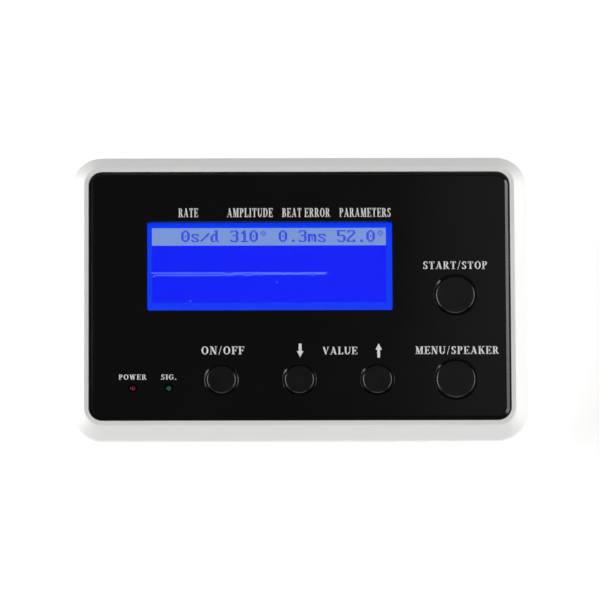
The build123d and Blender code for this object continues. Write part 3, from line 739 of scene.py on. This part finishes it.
def printFascia():
    points, faces = [], []
    for text, node, offset, size in words:
        middle = spot(node)[0]
        shapes, width = arrowShapes(text == "up") if text in ("up", "down") else wordShapes(text)
        left = middle.x + offset[0] - size[0] / 2
        low = middle.y + offset[1] - size[1] / 2
        for shape in shapes:
            area = sum(a[0] * b[1] - b[0] * a[1] for a, b in zip(shape, shape[1:] + shape[:1]))
            ordered = shape if area > 0 else shape[::-1]  # so that every face looks outwards
            faces.append(tuple(range(len(points), len(points) + len(ordered))))
            points += [(left + x / width * size[0], low + y * size[1], lettering["lift"]) for x, y in ordered]
    piece = plainMesh("fasciaPrint", points, faces, materials["whiteScreenInk"])
    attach(piece, "housing")


printFascia()
print("fascia printed")

# Painted shade: a flat matt black ring laid in the gap round the fascia's edge, standing in for the shade in
# that gap
gapShadeRing = {"gap": 0.5, "corner": 5.3, "level": -0.35, "steps": 8}


def roundedLoop(width, length, corner, level):
    points = []
    for centreX, centreY, start in ((1, 1, 0), (-1, 1, 90), (-1, -1, 180), (1, -1, 270)):
        for step in range(gapShadeRing["steps"] + 1):
            turn = math.radians(start + 90 * step / gapShadeRing["steps"])
            x = centreX * (width / 2 - corner) + corner * math.cos(turn)
            points.append((x, centreY * (length / 2 - corner) + corner * math.sin(turn), level))
    return points


# painted shade: a black ring that darkens the gap between the fascia and its recess
def paintedGapShade():
    size = (fasciaHigh - fasciaLow) / mm
    gap, corner = gapShadeRing["gap"], gapShadeRing["corner"]
    inner = roundedLoop(size.x, size.y, corner, gapShadeRing["level"])
    outer = roundedLoop(size.x + 2 * gap, size.y + 2 * gap, corner + gap, gapShadeRing["level"])
    count = len(inner)
    faces = [(i, count + i, count + (i + 1) % count, (i + 1) % count) for i in range(count)]
    piece = plainMesh("paintedGapShade", inner + outer, faces, materials["blackRubber"])
    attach(piece, "housing")


paintedGapShade()
print("seal laid")

# Stage, light and camera

stage = {"floor": "#fdfdfc", "size": 6.0, "glow": 0.35, "fibre": 3, "fibreDepth": 0.05}


def makeFloor():
    half = stage["size"] / 2
    mesh = bpy.data.meshes.new("floor")
    corners = [(-half, -half, 0), (half, -half, 0), (half, half, 0), (-half, half, 0)]
    mesh.from_pydata(corners, [], [(0, 1, 2, 3)])
    floor = linked("floor", mesh)
    material, tree = newMaterial("palePaper")  # seamless paper, matt and faintly fibrous
    place = addNode(tree, "ShaderNodeTexCoord").outputs["Object"]
    fibre = addNode(tree, "ShaderNodeTexNoise", {
        "Scale": 1 / (stage["fibre"] * mm), "Detail": 3.0,
    }, {"Vector": place})
    relief = addNode(tree, "ShaderNodeBump", {
        "Strength": 0.05, "Distance": stage["fibreDepth"] * mm,
    }, {"Height": fibre.outputs["Fac"]})
    shader = addNode(tree, "ShaderNodeBsdfPrincipled", {
        "Base Color": linearColour(stage["floor"]), "Roughness": 0.9,
        "Emission Color": (1, 1, 1, 1), "Emission Strength": stage["glow"],
    }, {"Normal": relief.outputs["Normal"]})
    addNode(tree, "ShaderNodeOutputMaterial", None, {"Surface": shader.outputs["BSDF"]})
    mesh.materials.append(material)


makeFloor()

# Soft boxes: name, bearing from the front towards the right and height in degrees, then distance,
# width, depth and power. Broad low ones light the bevels, and narrow strips draw the polished edges.
softBoxes = [
    ("leftFill", -95, 17, 1.1, 1.15, 0.40, 8.8),
    ("rightFill", 95, 18, 1.1, 1.15, 0.40, 8.6),
    ("leftStrip", -97, 31, 1.1, 1.15, 0.08, 3.2),
    ("rightStrip", 92, 40, 1.1, 1.15, 0.08, 1.7),
    ("frontFill", 0, 18, 1.3, 1.3, 0.35, 5.0),
    ("rearFill", 180, 60, 1.3, 1.0, 0.4, 0.3),
]
lighting = {
    "aim": (0, 0, 0.02),
    "card": {"place": (0.42, 0.1, 0.8), "target": (0.42, 0.1, 0), "width": 0.7, "depth": 0.8, "power": 0.3},
    "air": 0.06,
}


def aimed(thing, place, target):
    thing.location = place
    thing.rotation_euler = (Vector(target) - Vector(place)).to_track_quat("-Z", "Y").to_euler()


def softBox(name, place, width, depth, power, target):
    light = bpy.data.lights.new(name, "AREA")
    light.shape = "RECTANGLE"
    light.size = width
    light.size_y = depth
    light.energy = power
    aimed(linked(name, light), place, target)


for name, bearing, height, distance, width, depth, power in softBoxes:
    turn, rise = math.radians(bearing), math.radians(height)
    direction = Vector((math.sin(turn) * math.cos(rise), -math.cos(turn) * math.cos(rise), math.sin(rise)))
    softBox(name, direction * distance, width, depth, power, lighting["aim"])
card = lighting["card"]  # a dim card overhead on the right, which the fascia mirrors as a soft sheen
softBox("overheadCard", card["place"], card["width"], card["depth"], card["power"], card["target"])

world = bpy.data.worlds.new("studio")
bpy.context.scene.world = world
world.use_nodes = True
world.node_tree.nodes.clear()
air = addNode(world.node_tree, "ShaderNodeBackground", {"Color": (1, 1, 1, 1), "Strength": lighting["air"]})
addNode(world.node_tree, "ShaderNodeOutputWorld", None, {"Surface": air.outputs[0]})
bpy.context.scene.view_settings.view_transform = "Standard"

# The camera stands far off in front, lower by the tilt than straight out from the fascia's face.
# Angles are in degrees, distance in metres, and nudge moves it sideways and up in millimetres.
cameraStand = {
    "tilt": 17.06,
    "yaw": -0.53,
    "roll": -0.276,
    "distance": 5.121,
    "nudge": (0.16, -1.795),
    "lens": 738.6,
    "sensor": 36.0,
    "farthest": 50.0,
}


def makeCamera():
    tilt, yaw, roll = (math.radians(cameraStand[key]) for key in ("tilt", "yaw", "roll"))
    back = Vector((math.sin(yaw) * math.cos(tilt), -math.sin(tilt), math.cos(yaw) * math.cos(tilt)))
    up = (Vector((0, 1, 0)) - back * back.y).normalized()
    right = up.cross(back)
    rightRolled = math.cos(roll) * right + math.sin(roll) * up
    upRolled = math.cos(roll) * up - math.sin(roll) * right
    offset = back * cameraStand["distance"]
    offset += rightRolled * cameraStand["nudge"][0] * mm
    offset += upRolled * cameraStand["nudge"][1] * mm
    toRoom = fasciaSpace.to_3x3().normalized()
    place = fasciaSpace.translation + toRoom @ offset
    camera = bpy.data.cameras.new("camera")
    camera.lens = cameraStand["lens"]
    camera.sensor_width = cameraStand["sensor"]
    camera.clip_end = cameraStand["farthest"]
    cameraObject = linked("camera", camera)
    axes = Matrix([toRoom @ rightRolled, toRoom @ upRolled, toRoom @ back]).transposed()
    cameraObject.matrix_world = Matrix.Translation(place) @ axes.to_4x4()
    bpy.context.scene.camera = cameraObject


makeCamera()
print("stage, light and camera set")
